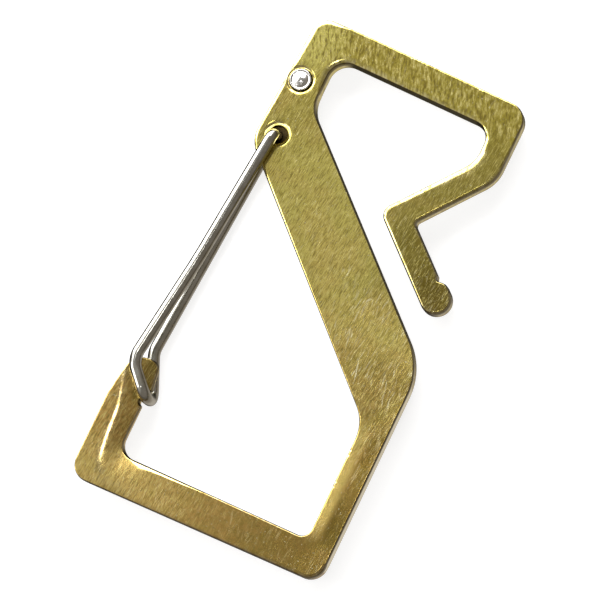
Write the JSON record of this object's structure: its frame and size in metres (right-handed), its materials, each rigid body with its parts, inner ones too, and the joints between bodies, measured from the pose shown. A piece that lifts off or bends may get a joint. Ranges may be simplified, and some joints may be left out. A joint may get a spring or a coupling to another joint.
{
  "type": "carabiner keyring",
  "caption": "Flat brass plate keyring with an angular belt hook above and a squared key loop below, closed by a sprung bent-wire gate; domed rivet in the top corner.",
  "frame": {"origin": "middle of the plate's outline, at the height of the underside of the rear gate leg", "axes": "+Z out of the front face, +Y along the long side towards the belt hook, +X away from the gate"},
  "size_m": [0.0466, 0.088, 0.0074],
  "materials": {
    "brass_plate": "hand-polished solid brass with fine scratches and softened edges",
    "gate_wire": "bright drawn steel wire",
    "rivet_steel": "mirror-polished steel"
  },
  "bodies": {
    "root": {"frame": "brass_plate", "rivet": "rivet_steel"},
    "gate": {"wire_gate": "gate_wire"}
  },
  "joints": [
    {"name": "gate_pivot", "type": "hinge", "parent": "root", "child": "gate", "pos_m": [-0.01665, 0.0222, 0.0037], "axis": [0, 0, 1], "range_deg": [0, 35], "stiffness_Nm_per_rad": 0.02, "springref_deg": -20.05}
  ]
}
